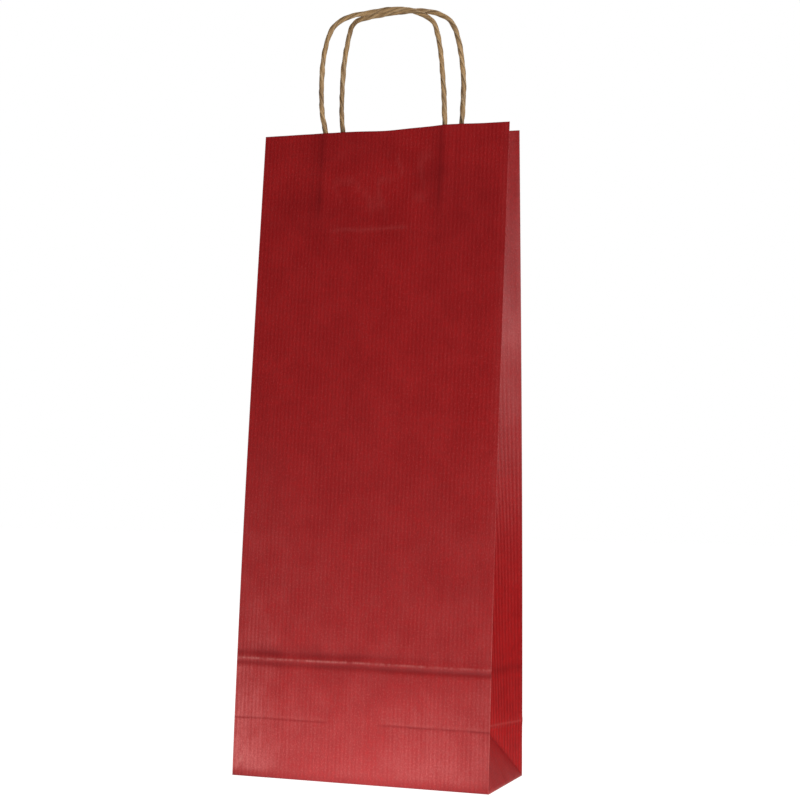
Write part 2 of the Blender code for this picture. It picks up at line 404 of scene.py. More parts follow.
def red_paper():
    """Satin red kraft: fine vertical ribs, fibre speckle, creases with wear, painted highlight and painted
    shade, and a foot made pale by a painted sheen.
    """
    t = Tree("red_ribbed_kraft")
    place = t.mark("paper", True)
    wear_and_highlight, dark, pale, painted_light = t.mark("wear_and_highlight"), t.mark("dark"), t.mark("pale"), t.mark("painted_light")
    plain = t.remap(painted_light, 0.0, 0.35, 1.0, 0.0, "LINEAR")
    rib = t.ribs(place)
    fibre = t.noise(place, (1.6, 0.45, 1.0), 4.0, 0.65)
    speck = t.noise(place, (1.35, 0.95, 1.0), 2.0, 0.6)
    cloud = t.noise(place, (0.060, 0.055, 1.0), 3.0, 0.55)
    mottle = t.noise(place, (0.42, 0.30, 1.0), 3.0, 0.7)

    # The base red, clouded and mottled.
    colour = t.mix(t.remap(fibre, 0.3, 0.7, 0.0, 1.0), RED_DEEP, RED_FULL)
    # Painted light: the lower gusset is made a brighter, fuller red.
    colour = t.mix(t.times(painted_light, 0.85), colour, RED_LIT)
    colour = t.mix(t.remap(cloud, 0.35, 0.65, 0.0, 0.36), colour, RED_CLOUD)
    colour = t.mix(t.remap(mottle, 0.35, 0.65, 0.0, 0.42, "LINEAR"), colour, RED_MOTTLE)

    # Ribs that come and go: painted shade in the valleys and a painted highlight on the crests.
    shown = t.remap(t.noise(place, (0.035, 0.02, 1.0)), 0.35, 0.65, 0.35, 1.0)
    broken = t.remap(t.noise(place, (0.30, 0.11, 1.0)), 0.36, 0.60, 0.35, 1.25)
    swing = t.times(rib, t.times(t.times(shown, broken), t.mark("ribbing")))
    colour = t.mix(t.line(swing, -0.11, 0.11), colour, RED_VALLEY_SHADE)
    crest = t.times(t.line(swing, 0.028, 0.010), t.line(plain, 0.6, 0.4))
    colour = t.mix(crest, colour, RED_CREST_HIGHLIGHT)

    # A pale haze, and fine pale specks, more on the rib crests and where the painted sheen is.
    haze = t.times(t.remap(cloud, 0.36, 0.62, 0.017, 0.0), t.remap(mottle, 0.38, 0.62, 0.5, 1.5))
    colour = t.mix(haze, colour, RED_HAZE)
    pale_specks = t.times(t.remap(speck, 0.52, 0.72, 0.0, 1.0), t.line(pale, 0.35, 0.30))
    pale_specks = t.times(pale_specks, t.line(t.line(rib, 0.5, 0.5), 0.5, 0.5))
    pale_specks = t.times(pale_specks, t.line(plain, 0.75, 0.25))
    colour = t.mix(pale_specks, colour, RED_PALE_SPECK)

    # Painted sheen, wear and painted highlight on lines, and painted shade, where the marks say so.
    blotch = t.noise(place, (0.055, 0.045, 1.0), 3.0, 0.5)
    streak = t.noise(place, (0.8, 0.02, 1.0))
    thick = t.plus(t.times(blotch, 0.8), t.times(streak, 0.35))
    painted_sheen = t.times(pale, t.remap(thick, 0.42, 0.74, 0.40, 1.15))
    painted_sheen = t.times(painted_sheen, t.line(swing, 0.30, 0.85))
    dots = t.plus(t.times(speck, 0.6), t.times(mottle, 0.4))
    painted_sheen = t.times(painted_sheen, t.remap(dots, 0.35, 0.65, 0.62, 1.30))
    colour = t.mix(painted_sheen, colour, RED_SHEEN)
    colour = t.mix(t.times(wear_and_highlight, t.remap(fibre, 0.32, 0.62, 0.45, 1.0)), colour, RED_WEAR_AND_HIGHLIGHT)
    colour = t.mix(t.times(dark, t.remap(cloud, 0.3, 0.7, 0.75, 1.0)), colour, RED_SHADE)

    rough = t.plus(t.remap(fibre, 0.3, 0.7, 0.36, 0.47), t.times(wear_and_highlight, 0.12))
    raised = t.times(t.maths("MINIMUM", t.mark("ribbing"), 1.0), 0.6)
    height = t.plus(t.times(rib, raised), t.times(fibre, 0.9))
    height = t.plus(height, t.times(speck, 0.6))
    return t.finish(colour, rough, height, 0.05, t.line(plain, 0.20, 0.13))


def kraft_paper(name, rib_bump, deep, light):
    """Natural brown kraft: long fibres, dark flecks and a clouded sheet."""
    t = Tree(name)
    place = t.mark("paper", True)
    fibre = t.noise(place, (0.5, 2.2, 1.0), 5.0, 0.65)
    thread = t.noise(place, (2.4, 0.35, 1.0), 3.0, 0.6)
    cloud = t.noise(place, (0.07, 0.09, 1.0), 3.0, 0.5)
    fleck = t.noise(place, (1.3, 1.0, 1.0), 1.0, 0.5)
    colour = t.mix(t.remap(fibre, 0.3, 0.7, 0.0, 1.0), deep, light)
    colour = t.mix(t.remap(thread, 0.55, 0.75, 0.0, 0.35), colour, KRAFT_THREAD)
    colour = t.mix(t.remap(cloud, 0.35, 0.65, 0.0, 0.35), colour, deep)
    colour = t.mix(t.remap(fleck, 0.68, 0.74, 0.0, 0.6), colour, KRAFT_FLECK)
    # Lighter where the marks give wear and painted highlight.
    colour = t.mix(t.times(t.mark("wear_and_highlight"), 0.35), colour, KRAFT_WEAR_AND_HIGHLIGHT)
    height = t.plus(t.times(t.ribs(place), rib_bump), fibre)
    height = t.plus(height, t.times(thread, 0.5))
    return t.finish(colour, t.remap(fibre, 0.3, 0.7, 0.62, 0.8), height, 0.05, 0.35)


def cord_paper():
    """Twisted kraft cord: strips along the lay, painted shade in the grooves and just above the rim, and a
    painted highlight on the high spots.
    """
    t = Tree("twisted_kraft")
    place = t.mark("strand", True)
    strip = t.noise(place, (1.5, 0.05, 1.0), 4.0, 0.6)
    fine = t.noise(place, (7.0, 0.25, 1.0), 4.0, 0.7)
    patchy = t.noise(place, (0.5, 0.09, 1.0))
    colour = t.mix(t.remap(strip, 0.32, 0.68, 0.0, 1.0), CORD_DEEP, CORD_LIGHT)
    colour = t.mix(t.remap(fine, 0.3, 0.7, 0.0, 0.5), colour, CORD_FINE)
    colour = t.mix(t.remap(patchy, 0.4, 0.7, 0.0, 0.5), colour, CORD_SHADE)
    # Painted highlight on the cord's raised spots.
    colour = t.mix(t.times(t.mark("high"), t.remap(fine, 0.35, 0.65, 0.1, 0.7)), colour, CORD_HIGHLIGHT)
    # Painted shade in the grooves and just above the rim.
    colour = t.mix(t.mark("groove_and_shade"), colour, CORD_GROOVE_SHADE)
    height = t.plus(fine, t.times(strip, 0.8))
    return t.finish(colour, t.remap(fine, 0.3, 0.7, 0.5, 0.72), height, 0.10, 0.45)


RED = red_paper()
KRAFT_INSIDE = kraft_paper("kraft_inside", 0.35, KRAFT_DEEP, KRAFT_LIGHT)
KRAFT_EDGE = kraft_paper("kraft_cut_edge", 0.0, EDGE_DEEP, EDGE_LIGHT)
KRAFT_PLAIN = kraft_paper("kraft_patch", 0.0, PATCH_DEEP, PATCH_LIGHT)
CORD = cord_paper()
# Outer face, inner face and cut edge.
BAG_PAPER = [RED, KRAFT_INSIDE, KRAFT_EDGE]


def cord_places(y_side):
    """Where the two cord ends of a panel stand across it."""
    places = []
    for x_side in (LEFT, RIGHT):
        low, high = box_mm(f"{NAMES[y_side]}_cord_end_{SIDES[x_side]}")
        places.append((low[0] + high[0]) / 2)
    return places


def patch_foot(y_side):
    """Height of a patch's lower edge."""
    return WALL - (RIM_Z - box_mm(f"{NAMES[y_side]}_patch_backing")[0][2])


def seam_step():
    """The side that the glued lap is on, and how far out its edge lies."""
    low, high = box_mm("side_seam_lap")
    return math.copysign(1, low[0]), max(abs(low[0]), abs(high[0]))


def crease_lines(y_side, u, s):
    """Heights above the two creases of a panel, which wander a little across it."""
    seed = CREASE_SEED[y_side]
    high = s - high_crease(y_side) - 0.35 * grain(u / 24, 0.5, seed)
    low = s - low_crease(y_side) - 0.25 * grain(u / 20, 4.5, seed)
    return high, low


def low_crease_share(y_side, u):
    """The low crease is missing across the middle of the front."""
    if y_side == BACK:
        return 0.6 + 0.4 * grain(u / 18, 2.5, 29)
    gap = smooth((u + 27) / 12) * smooth((21 - u) / 12)
    return (1 - gap) * (0.75 + 0.25 * grain(u / 7, 1.5, 31))


def panel_relief(y_side, u, s):
    """How far the paper of a panel stands inwards of its bowed surface, apart from ribs."""
    seed = RELIEF_SEED[y_side]
    inside = smooth((HALF_WIDTH - np.abs(u)) / 22)
    n = 0.85 * grain(u / 34 + 3, s / 62, seed) * inside * smooth(s / 60)
    n = n + 0.13 * grain(u / 13, s / 21 + 8, seed + 1) * inside
    high, low = crease_lines(y_side, u, s)
    drift = smooth((u + 20) / 70)
    n = n + 0.20 * bell(high - 3.8, 2.6) * (1 - 0.6 * drift)
    n = n + 0.22 * bell(high + 3.0, 1.8) * (0.35 + 0.65 * drift)
    n = n - 0.11 * bell(high, 0.7)
    n = n + 0.07 * bell(low, 0.8) * low_crease_share(y_side, u)
    low_patch, high_patch = box_mm(f"{NAMES[y_side]}_patch_backing")
    foot = patch_foot(y_side)
    across = smooth((u - low_patch[0]) / 2.5) * smooth((high_patch[0] - u) / 2.5)
    n = n - 0.14 * across * smooth((s - foot) / 3.0)
    for x in cord_places(y_side):
        n = n - 0.18 * bell(u - x, 4.0) * smooth((s - foot - 3) / 9)
        n = n + 0.07 * bell(np.abs(u - x) - 7.0, 3.2) * smooth((s - foot - 3) / 9)
    return n


def panel_marks(y_side, u, s):
    """The panel's marks: wear and painted highlight, painted shade, and a pale painted sheen."""
    seed = MARKS_SEED[y_side]
    foot = patch_foot(y_side)

    # The two creases pressed in across the panel: each has a light line of wear and painted highlight, with
    # painted shade in and beside it.
    high, low = crease_lines(y_side, u, s)
    drift = smooth((u + 20) / 70)
    left = 1 - 0.55 * smooth((u + 30) / 90)
    share = low_crease_share(y_side, u)
    wear_and_highlight = 1.1 * bell(high - 0.2, 0.55) * left * (0.55 + 0.45 * grain(u / 1.6, 0.0, seed))
    wear_and_highlight = wear_and_highlight + 0.10 * bell(low - 1.5, 0.9) * share
    dark = 0.80 * bell(high - 3.6, 2.9) * (1 - 0.72 * drift) * (0.8 + 0.2 * grain(u / 9, 2.0, seed))
    dark = dark + 0.75 * bell(high + 2.6, 1.9) * (0.85 + 0.15 * drift)
    dark = dark + 0.13 * bell(high + 8, 6) * bell(u + 8, 40)
    dark = dark + 0.62 * bell(low, 0.55) * share

    # Painted shade along the cord ends inside the panel, a painted highlight along the patch's lower edge,
    # and pale lines on a few wrinkles.
    for x in cord_places(y_side):
        shade = 0.50 * bell(u - x + 0.6, 2.0) + 0.20 * bell(u - x + 3.5, 6.0)
        dark = dark + shade * smooth((s - foot + 2) / 26) * (0.8 + 0.2 * grain(u / 5, s / 16, seed))
    line = smooth((u + 34) / 6) * smooth((20 - u) / 6)
    wear_and_highlight = wear_and_highlight + 0.10 * bell(s - foot - 1 - 0.8 * grain(u / 12, 6.0, seed), 1.1) * line
    held = smooth((s - foot - 6) / 10) * smooth((WALL - 8 - s) / 12) * smooth((38 - np.abs(u)) / 12)
    wear_and_highlight = wear_and_highlight + 0.07 * held * bell(grain(u / 15 + s / 34, s / 8, seed + 60), 0.11)

    # Painted shade near the rim, in clouds, and over the upper right of the panel.
    cloud = smooth(0.5 + grain(u / 30 + 2, s / 19, seed + 70)) * smooth((s - 290) / 60)
    dark = dark + 0.24 * cloud + 0.20 * smooth((u - 5) / 45) * smooth((s - 220) / 90)

    # Wear and painted highlight along the side edges, painted shade along the cut rim and the bottom crease,
    # and a scuff at the left foot of the front.
    fold = 0.10 + 0.30 * smooth((140 - s) / 60) * (0.55 + 0.45 * grain(s / 9, 7.0, seed))
    wear_and_highlight = wear_and_highlight + fold * bell(HALF_WIDTH - np.abs(u), 0.6)
    dark = dark + 0.70 * bell(WALL - s, 0.45) + 0.7 * bell(s, 0.6)
    if y_side == FRONT:
        wear_and_highlight = wear_and_highlight + 0.7 * bell(u + 75 - (s - 9.5) * 0.55, 1.0) * bell(s - 9.5, 2.6)

    # A painted sheen makes the foot pale, most of all on the left and least in the middle. It also lies
    # faintly up the left and along the right edge, and not where the painted shade is.
    pale = (0.18 * smooth((250 - s) / 240) + 0.22 * smooth((70 - s) / 60)) * smooth((s - 0.5) / 6)
    pale = pale + 0.40 * smooth((-48 - u) / 30) * smooth((96 - s) / 25) * smooth((s - 2) / 4)
    pale = pale + 0.09 * smooth((-30 - u) / 40) * smooth((230 - s) / 120)
    pale = pale + 0.10 * smooth((u - 73) / 6) * smooth((s - 120) / 60)
    pale = pale * (1 - 0.45 * bell(u + 5, 42) * smooth((62 - s) / 40))
    pale = pale * (1 - np.clip(1.2 * dark, 0, 0.9))
    return np.clip(wear_and_highlight, 0, 1), np.clip(dark, 0, 1), np.clip(pale, 0, 1)


def sheet_marks(y_side, u, s):
    """All marks of a panel sheet. Below s = 0 it is the bottom flap, with its mitre folds."""
    wear_and_highlight, dark, pale = panel_marks(y_side, u, s)
    under = s < -0.1
    corner = HALF_WIDTH - np.abs(u) + s
    # Under the bottom: a light line on the mitre folds, painted shade beside them and a little over the
    # whole flap, and an even pale tint.
    wear_and_highlight = np.where(under, 0.35 * bell(corner, 0.9), wear_and_highlight)
    dark = np.where(under, 0.10 + 0.2 * bell(np.abs(corner) - 1.6, 1.0), dark)
    pale = np.where(under, 0.25, pale)
    if y_side == BACK:
        # Painted highlight and painted shade on the two sides of the step where the glued lap ends.
        seam_side, seam_edge = seam_step()
        step = seam_side * u - seam_edge
        dark = dark + 0.55 * bell(step - 0.35, 0.4) * ~under
        wear_and_highlight = wear_and_highlight + 0.45 * bell(step + 0.35, 0.4) * ~under
    strong_left = 0.25 * smooth((-40 - u) / 30) * smooth((130 - s) / 60)
    weak_middle = 0.35 * bell(u - 5, 32) * smooth((110 - s) / 60)
    return {
        "paper": np.stack([u + 40 * (y_side + 1), s, np.full(u.shape, 10.0 * y_side)], -1),
        "wear_and_highlight": wear_and_highlight, "dark": dark, "pale": pale, "painted_light": np.zeros(u.shape),
        "ribbing": (0.55 + strong_left) * (1 - weak_middle),
    }


def rim_wave(u):
    return -RIM_WAVE * bell(u - 1, 16) + RIM_WAVE * bell(u - 44, 16) + 0.15 * grain(u / 14, 1.5, 41)


def panel_middle(y_side, flat):
    """The ribbed face of a panel between its two rounded side edges."""
    u, up = np.meshgrid(flat, ROWS, indexing="ij")
    s = up + rim_wave(u) * smooth((up - WALL + RIM_WAVE_DEPTH) / RIM_WAVE_DEPTH)
    rib = RIB_HEIGHT * np.cos(2 * np.pi * u / RIB_PITCH)
    n = panel_relief(y_side, u, up) - rib * smooth(s / 2)
    if y_side == BACK:
        seam_side, seam_edge = seam_step()
        beyond_lap = smooth((seam_side * u - seam_edge) / 0.3)
        n = n + PAPER * beyond_lap * smooth((HALF_WIDTH - 0.8 - np.abs(u)) / 1.2)
    return wall(y_side, u, s, n)


def panel_edge(x_side, y_side, turn):
    """The rounded fold between a panel and a gusset, as columns from left to right."""
    corner = wall(y_side, x_side * HALF_WIDTH, ROWS, 0.0)
    along = corner - np.array([x_side * FOLD_ROUND, 0, 0])
    onto = gusset(x_side, y_side, FOLD_ROUND / GUSSET, ROWS)
    points = [(1 - k) ** 2 * along + 2 * k * (1 - k) * corner + k * k * onto for k in turn]
    return np.stack(points if x_side == RIGHT else points[::-1])


def panel_flap(y_side, columns, rows, height):
    """The bottom flap of a panel. Its rows are minus the distance from the bottom crease."""
    u = np.clip(columns, -HALF_WIDTH + FLAP_INSET, HALF_WIDTH - FLAP_INSET)[:, None]
    inward = -rows[None, :]
    y = y_side * (HALF_DEPTH - CREASE_OPEN - inward)
    z = height * smooth(inward / 2.0) + 0.05 * grain(u / 17, inward / 12, 51) * smooth(inward / 8)
    return np.stack(np.broadcast_arrays(u, y, np.maximum(z, 0.0)), -1)


def panel_sheet(y_side):
    name = NAMES[y_side]
    rib_count = int(round(2 * HALF_WIDTH / RIB_PITCH))
    flat = np.linspace(-HALF_WIDTH, HALF_WIDTH, 4 * rib_count + 1)[1:-1]
    turn = np.linspace(0, 1, 7)
    columns = np.concatenate([
        -HALF_WIDTH - FOLD_ROUND * turn[::-1],
        flat,
        HALF_WIDTH + FOLD_ROUND * turn,
    ])
    flap_low, flap_high = box_mm(f"bottom_flap_{name}")
    reach = flap_high[1] - flap_low[1] - FLAP_SHORT
    flap_rows = -np.concatenate([np.linspace(reach, 4, 14), [2.4, 1.3, 0.6, 0.25]])
    face = np.concatenate([
        panel_edge(LEFT, y_side, turn),
        panel_middle(y_side, flat),
        panel_edge(RIGHT, y_side, turn),
    ])
    flap = panel_flap(y_side, columns, flap_rows, flap_low[2])
    outer = np.concatenate([flap, face], 1)
    u, s = np.meshgrid(columns, np.concatenate([flap_rows, ROWS]), indexing="ij")
    thick = near_fold(np.maximum(HALF_WIDTH - np.abs(columns), 0))
    marks = sheet_marks(y_side, u, s)
    piece = sheet(f"{name}_paper", outer, y_side == FRONT, marks, BAG_PAPER, thick)
    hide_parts(f"{name}_panel", f"bottom_flap_{name}")
    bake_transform(piece)


def gusset_relief(x_side, y_side, columns, s):
    """How far a gusset half stands out of its plain surface: ribs, small bumps and creases."""
    across = HALF_WIDTH + GUSSET * columns
    rib = 2.2 * RIB_HEIGHT * np.cos(2 * np.pi * across / RIB_PITCH) * smooth((1 - columns) / 0.02)
    rib = rib * smooth((330 - s) / 160) * smooth((columns * GUSSET - FOLD_ROUND) / 1.5) * smooth(s / 2)
    fade = smooth(columns / 0.08) * smooth((1 - columns) / 0.08)
    bumps = 0.25 * grain(across / 11 + 20 * x_side, s / 30 + 7 * y_side, 61) * fade * smooth(s / 25)
    bumps = bumps + 0.12 * bell(s - high_crease(y_side, columns), 3.0) * fade
    low = s - low_crease(y_side, columns)
    bumps = bumps - 0.22 * bell(low, 1.0) * fade * (s > GUSSET * columns)
    return rib - bumps


def gusset_marks(x_side, y_side, columns, s):
    high = s - high_crease(y_side, columns)
    low = s - low_crease(y_side, columns)
    above = s - GUSSET * columns
    on_gusset = above > 0
    # Wear and painted highlight along the fold edge, on the low crease and along the bottom edge.
    wear_and_highlight = 0.25 * bell(columns * GUSSET, 0.8) * (0.4 + 0.6 * smooth((170 - s) / 90))
    wear_and_highlight = wear_and_highlight + 0.22 * bell(low - 1, 0.7) * on_gusset
    wear_and_highlight = wear_and_highlight + 0.60 * bell(s, 0.9)
    # Painted shade in the two creases, along the tuck's diagonal fold, in the middle crease and under the
    # rim.
    dark = 0.42 * bell(high, 2.6) + 0.20 * bell(low + 0.4, 0.6) * on_gusset
    dark = dark + 0.42 * bell(above + 1.2, 2.6) * smooth(columns / 0.15)
    dark = dark + 0.35 * bell(1 - columns, 0.03) * on_gusset + 0.45 * bell(WALL - s, 0.5)
    # Painted highlight across the gusset at mid height, and a faint painted sheen on the tuck below the
    # diagonal.
    pale = (0.32 * bell(s - 266, 17) + 0.20 * bell(s - 222, 55)) * on_gusset
    pale = pale + 0.07 * smooth(-above / 2)
    # Painted light: the lower gusset is made a brighter, fuller red with less gloss, weakest below the
    # diagonal.
    painted_light = 0.35 * smooth((205 - s) / 120) + 0.65 * smooth((62 - s) / 30)
    painted_light = painted_light * (0.3 + 0.7 * smooth((above + 1) / 2))
    place = np.full(s.shape, 30.0 * x_side + 5.0 * y_side)
    return {
        "paper": np.stack([HALF_WIDTH + GUSSET * columns, s, place], -1),
        "wear_and_highlight": np.clip(wear_and_highlight, 0, 1), "dark": np.clip(dark, 0, 1), "pale": np.clip(pale, 0, 1),
        "ribbing": 0.08 + 2.9 * smooth((300 - s) / 180) * on_gusset,
        "painted_light": painted_light,
    }


def gusset_sheet(x_side, y_side):
    side, end = SIDES[x_side], NAMES[y_side]
    count = int(round(GUSSET / (RIB_PITCH / 4)))
    c = np.concatenate([[FOLD_ROUND / GUSSET], np.linspace(0, 1, count + 1)[1:]])
    columns, s = np.meshgrid(c, ROWS, indexing="ij")
    flip = x_side != y_side
    outer = gusset(x_side, y_side, columns, s)
    relief = gusset_relief(x_side, y_side, columns, s)
    outer = outer + grid_normals(outer, flip) * relief[..., None]
    marks = gusset_marks(x_side, y_side, columns, s)
    thick = near_fold(c * GUSSET)
    piece = sheet(f"{side}_gusset_paper_{end}", outer, flip, marks, BAG_PAPER, thick, True)
    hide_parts(f"{side}_gusset_{end}", f"{side}_tuck_{end}")
    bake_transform(piece)


# ---------------------------------------------------------------- twisted cord handles
CORD_RADIUS = 1.6
CORD_LIFT = 2.6
CORD_FATTEST = 1.12
TWIST_LAY = 26.0
CORD_STEP = 0.42
CORD_SIDES = 30
CORD_WOBBLE = 0.18
# Each groove between strands: its place around the cord, its width and its depth.
GROOVES = ((0.3, 0.20, 1.0), (2.7, 0.17, 0.65), (4.4, 0.14, 0.4))
GROOVE_DEPTH = 0.24
RIM_SHADOW = {FRONT: 0.15, BACK: 0.80}
# Outline of each loop, as shares of the way across between its legs and up from the rim.
LOOPS = {
    FRONT: [(0.0, 0.0), (-0.04, 0.20), (-0.05, 0.42), (-0.034, 0.68), (0.028, 0.88), (0.16, 0.965),
            (0.33, 0.985), (0.50, 1.0), (0.66, 0.985), (0.80, 0.93), (0.89, 0.855), (0.935, 0.70),
            (0.965, 0.50), (0.99, 0.24), (1.0, 0.0)],
    BACK: [(0.0, 0.0), (-0.018, 0.20), (-0.016, 0.42), (0.002, 0.66), (0.045, 0.89), (0.085, 0.97),
           (0.15, 1.0), (0.30, 1.02), (0.48, 1.03), (0.66, 1.025), (0.81, 0.985), (0.92, 0.90), (0.98, 0.72),
           (1.015, 0.44), (1.01, 0.20), (1.0, 0.0)],
}


def catmull(points, count):
    """A smooth curve through the given points."""
    points = np.asarray(points, float)
    padded = np.concatenate([[2 * points[0] - points[1]], points, [2 * points[-1] - points[-2]]])
    curve = []
    for k in range(len(points) - 1):
        p0, p1, p2, p3 = padded[k:k + 4]
        for t in np.linspace(0, 1, count, endpoint=False):
            curve.append(0.5 * (2 * p1 + (p2 - p0) * t + (2 * p0 - 5 * p1 + 4 * p2 - p3) * t ** 2
                                + (3 * p1 - p0 - 3 * p2 + p3) * t ** 3))
    curve.append(points[-1])
    return np.array(curve)


def resample(curve, step):
    length = np.concatenate([[0], np.cumsum(np.linalg.norm(np.diff(curve, axis=0), axis=1))])
    even = np.linspace(0, length[-1], int(length[-1] / step))
    return np.stack([np.interp(even, length, curve[:, k]) for k in range(3)], -1), even


def handle_line(y_side):
    """The middle line of a cord, from one glued end over the loop to the other."""
    name = NAMES[y_side]
    low, high = box_mm(f"{name}_handle_cord")
    left, right = cord_places(y_side)
    pivot = joint_point(f"{name}_handle_swing")
    lowest = box_mm(f"{name}_cord_end_left")[0][2] / COS_A
    top_z = high[2] - CORD_RADIUS
    top_y = y_side * (min(abs(low[1]), abs(high[1])) + CORD_RADIUS)
    inside = np.linspace(lowest, WALL, 7)[:-1]
    rim = wall(y_side, 0.0, np.array(WALL), CORD_LIFT)
    loop = []
    for fx, fz in LOOPS[y_side]:
        z = rim[2] + fz * (top_z - rim[2])
        y = pivot[1] + (top_y - pivot[1]) * (z - pivot[2]) / (top_z - pivot[2])
        if fz == 0:
            y = rim[1]
        loop.append((left + fx * (right - left), y, z))
    up = [tuple(wall(y_side, left, s, CORD_LIFT)) for s in inside]
    down = [tuple(wall(y_side, right, s, CORD_LIFT)) for s in inside[::-1]]
    return resample(catmull(up + loop + down, 12), CORD_STEP)


def cord_section(phase, along, seed):
    """Radius of the twisted cord by angle around its lay, and the depth of its grooves."""
    groove_and_shade = 0.0
    for place, width, depth in GROOVES:
        apart = np.abs((phase - place + np.pi) % (2 * np.pi) - np.pi)
        groove_and_shade = groove_and_shade + depth * bell(apart, width)
    groove_and_shade = np.clip(groove_and_shade, 0, 1)
    facet = 0.05 * np.cos(2 * phase) + 0.045 * np.cos(3 * phase + 1.0) + 0.02 * np.cos(5 * phase)
    lumps = 0.045 * grain(along / 7, phase * 1.3, seed + 1)
    swell = 0.05 * grain(along / 11, 9.0, seed + 2)
    radius = CORD_RADIUS * (0.985 + facet + lumps + swell - GROOVE_DEPTH * groove_and_shade)
    return np.minimum(radius, CORD_RADIUS * CORD_FATTEST), groove_and_shade


def handle(y_side):
    name = NAMES[y_side]
    seed = CORD_SEED[y_side]
    centre, along = handle_line(y_side)
    free = smooth((centre[:, 2] - RIM_Z - 2) / 12)
    wobble_x = CORD_WOBBLE * grain(along / 16, 0.0, seed) * free
    wobble_y = CORD_WOBBLE * grain(along / 19, 3.0, seed) * free
    centre = centre + np.stack([wobble_x, wobble_y, np.zeros(len(along))], -1)
    tangent = np.gradient(centre, axis=0)
    tangent /= np.linalg.norm(tangent, axis=1, keepdims=True)
    side = np.cross(np.array([0.0, 1.0, 0.0]), tangent)
    side /= np.linalg.norm(side, axis=1, keepdims=True)
    other = np.cross(tangent, side)

    along = along[:, None]
    angle = np.linspace(0, 2 * np.pi, CORD_SIDES, endpoint=False)[None, :]
    lay = along / TWIST_LAY + 0.10 * grain(along / 23, 5.0, seed)
    phase = (angle + 2 * np.pi * lay) % (2 * np.pi)
    radius, groove_and_shade = cord_section(phase, along, seed)
    ring = side[:, None, :] * np.cos(angle)[..., None] + other[:, None, :] * np.sin(angle)[..., None]
    points = centre[:, None, :] + ring * radius[..., None]

    index = np.arange(phase.size).reshape(phase.shape)
    following = np.roll(index, -1, 1)
    quads = np.stack([index[:-1], index[1:], following[1:], following[:-1]], -1)
    faces = quads.reshape(-1, 4).tolist() + [index[0].tolist(), index[-1, ::-1].tolist()]
    shadow = RIM_SHADOW[y_side] * smooth((RIM_Z + 11 - centre[:, 2:3]) / 9)
    strand = np.stack(np.broadcast_arrays(phase, along, float(seed)), -1)
    attributes = {
        "strand": strand.reshape(-1, 3),
        # Painted shade in the grooves, and the painted rim shadow.
        "groove_and_shade": np.clip(0.85 * groove_and_shade + shadow, 0, 1).ravel(),
        # Painted highlight where the cord stands highest.
        "high": np.clip((radius / CORD_RADIUS - 1.0) / 0.09, 0, 1).ravel(),
    }
    slots = [0] * len(faces)
    piece = make_mesh(f"{name}_twisted_cord", points.reshape(-1, 3), faces, [CORD], slots, attributes, 60)
    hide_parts(f"{name}_handle_cord", f"{name}_cord_end_left", f"{name}_cord_end_right")
    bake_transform(piece)


# ---------------------------------------------------------------- patches, seam lap and bottom folds
# How far inwards each sheet of a patch lies, and the hump of its cover over a cord end.
COVER_LIFT, BACKING_LIFT = 1.15, 0.45
COVER_HUMP = 3.55
COVER_HUMP_REACH = 5.2


def flat_marks(u, s, wear_and_highlight):
    zero = np.zeros(np.broadcast(u, s).shape)
    return {
        "paper": np.stack([u + zero, s + zero, zero], -1),
        "wear_and_highlight": wear_and_highlight + zero, "dark": zero, "pale": zero, "ribbing": zero + 0.6, "painted_light": zero,
    }


def patch(y_side, cover):
    """A kraft sheet glued inside the rim. The cover is pressed down around the two cord ends."""
    name = NAMES[y_side]
    kind = "cover" if cover else "backing"
    low, high = box_mm(f"{name}_patch_{kind}")
    foot, top = WALL - (RIM_Z - low[2]), WALL - (RIM_Z - high[2])
    u = np.linspace(low[0], high[0], 190)[:, None]
    s = np.linspace(foot, top, 46)[None, :]
    n = (COVER_LIFT if cover else BACKING_LIFT) + 0.10 * grain(u / 9, s / 14, 81 + cover)
    n = n + panel_relief(y_side, u, s)
    if cover:
        for x in cord_places(y_side):
            away = np.clip(np.abs(u - x) / COVER_HUMP_REACH, 0, 1)
            n = n + COVER_HUMP * np.cos(np.pi / 2 * away) ** 1.7 * smooth((s - foot + 1) / 6)
    edge = 0.35 * grain(u / 8, 2.0, 83 + cover) * smooth((s - top + 6) / 6)
    face = wall(y_side, u, s + edge, n)
    marks = flat_marks(u + 33, s, 0.5 * smooth(1 - (u - low[0]) / 1.0))
    piece = sheet(f"{name}_patch_paper_{kind}", face, y_side == BACK, marks, [KRAFT_PLAIN] * 3, PATCH_SHEET)
    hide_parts(f"{name}_patch_{kind}")
    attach(piece, f"{name}_wall")


def seam_lap():
    """The glued lap that closes the paper tube, inside the back panel."""
    low, high = box_mm("side_seam_lap")
    u = np.linspace(low[0], high[0], 22)[:, None]
    s = ROWS[(ROWS > 3) & (ROWS < WALL - 1)][None, :]
    n = PAPER + panel_relief(BACK, u, s) + 0.12 + 0.05 * grain(u / 5, s / 15, 91)
    face = wall(BACK, u, s, n + PAPER)
    piece = sheet("seam_lap_paper", face, True, flat_marks(u, s, 0.3), [KRAFT_INSIDE] * 3)
    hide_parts("side_seam_lap")
    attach(piece, "back_wall")


